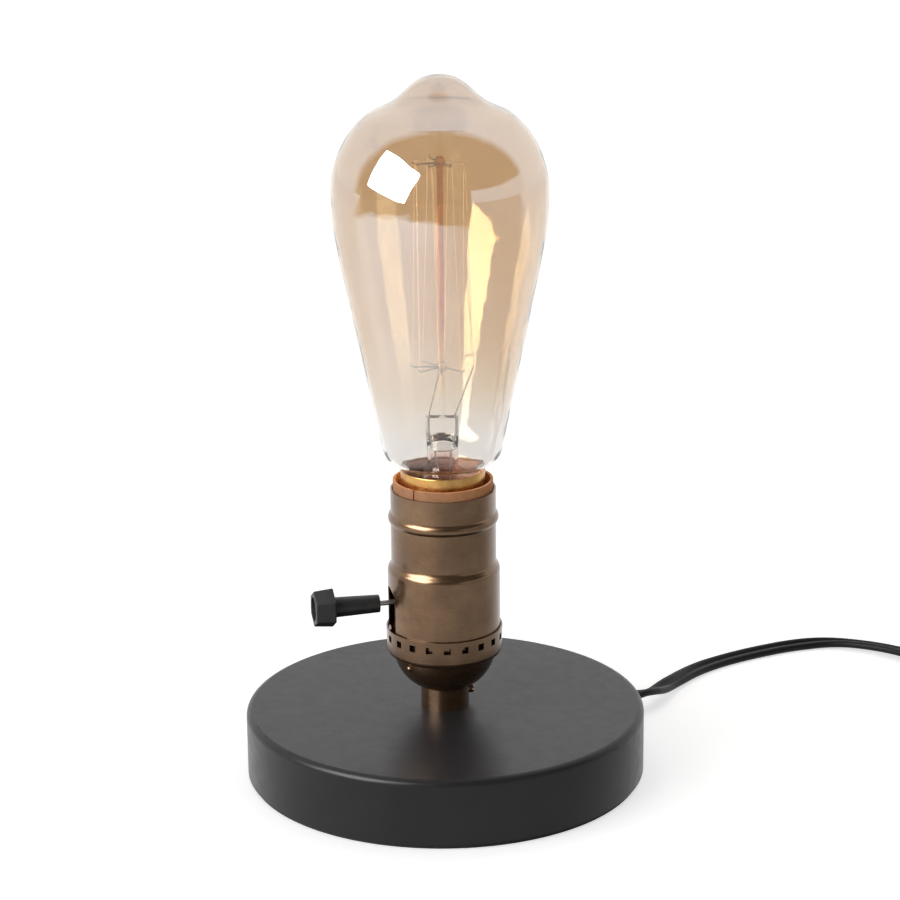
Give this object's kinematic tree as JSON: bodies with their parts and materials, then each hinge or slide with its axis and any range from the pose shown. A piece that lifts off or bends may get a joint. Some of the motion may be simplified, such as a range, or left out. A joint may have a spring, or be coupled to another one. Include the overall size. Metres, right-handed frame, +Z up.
{
  "type": "industrial table lamp",
  "caption": "Table lamp with a heavy round base, an upright bronze lampholder with a turn-knob switch and a bare screw-in filament bulb.",
  "frame": {"origin": "middle of the round base on the surface that the lamp stands on", "axes": "+Z up along the lamp's axis, the switch knob points along -X, the cord leaves towards +X"},
  "size_m": [0.3161, 0.1351, 0.2156],
  "materials": {
    "satin_grey_paint": "satin",
    "grey_cast_iron": "rough",
    "black_foam": "matte",
    "zinc_steel": "satin",
    "aged_bronze": "satin, antiqued",
    "brown_card": "matte",
    "black_phenolic": "semi-gloss",
    "plain_brass": "satin",
    "black_flex": "matte",
    "black_glass": "gloss",
    "tan_cement": "matte",
    "amber_glass": "clear, tinted",
    "clear_glass": "clear",
    "tungsten_wire": "dull"
  },
  "bodies": {
    "lamp_stand": {"base_shell": "satin_grey_paint", "base_weight": "grey_cast_iron", "base_pad": "black_foam", "threaded_nipple": "zinc_steel", "lock_washer": "zinc_steel", "nipple_nut": "zinc_steel", "cap_hub": "aged_bronze", "set_screw": "aged_bronze", "socket_cap": "aged_bronze", "socket_shell": "aged_bronze", "insulating_liner": "brown_card", "fibre_disc": "brown_card", "switch_body": "black_phenolic", "switch_cover": "black_phenolic", "housing_rivets": "plain_brass", "screw_shell": "plain_brass", "contact_leaf": "plain_brass", "centre_contact": "plain_brass", "contact_rivet": "plain_brass", "live_terminal": "plain_brass", "neutral_terminal": "plain_brass", "live_screw": "plain_brass", "neutral_screw": "zinc_steel", "cord_inner": "black_flex", "live_core": "black_flex", "neutral_core": "black_flex", "cord_bushing": "black_flex", "cord_lead": "black_flex", "cord_coil": "black_flex", "cord_tie": "black_flex", "plug_lead": "black_flex", "plug_body": "black_flex", "plug_blades": "plain_brass"},
    "bulb_carrier": {"bulb_eyelet": "zinc_steel", "bulb_insulator": "black_glass"},
    "bulb": {"bulb_screw_cap": "plain_brass", "bulb_cement": "tan_cement", "bulb_glass": "amber_glass", "bulb_stem": "clear_glass", "bulb_lead_wires": "zinc_steel", "bulb_support_wires": "zinc_steel", "bulb_filament": "tungsten_wire"},
    "switch_key": {"switch_knob": "black_phenolic", "switch_shaft": "zinc_steel", "switch_rotor": "black_phenolic", "rotor_bridge": "plain_brass"}
  },
  "joints": [
    {"name": "knob_turn", "type": "hinge", "parent": "lamp_stand", "child": "switch_key", "pos_m": [0, 0, 0.0557], "axis": [-1, 0, 0], "continuous": true},
    {"name": "bulb_lift", "type": "slide", "parent": "lamp_stand", "child": "bulb_carrier", "axis": [0, 0, 1], "range_m": [0, 0.0254]},
    {"name": "bulb_turn", "type": "hinge", "parent": "bulb_carrier", "child": "bulb", "pos_m": [0, 0, 0.1], "axis": [0, 0, 1], "range_deg": [0, 2520]}
  ],
  "couplings": [
    {"joint": "bulb_lift", "follows": "bulb_turn", "m_per_rad": 0.00057757}
  ]
}
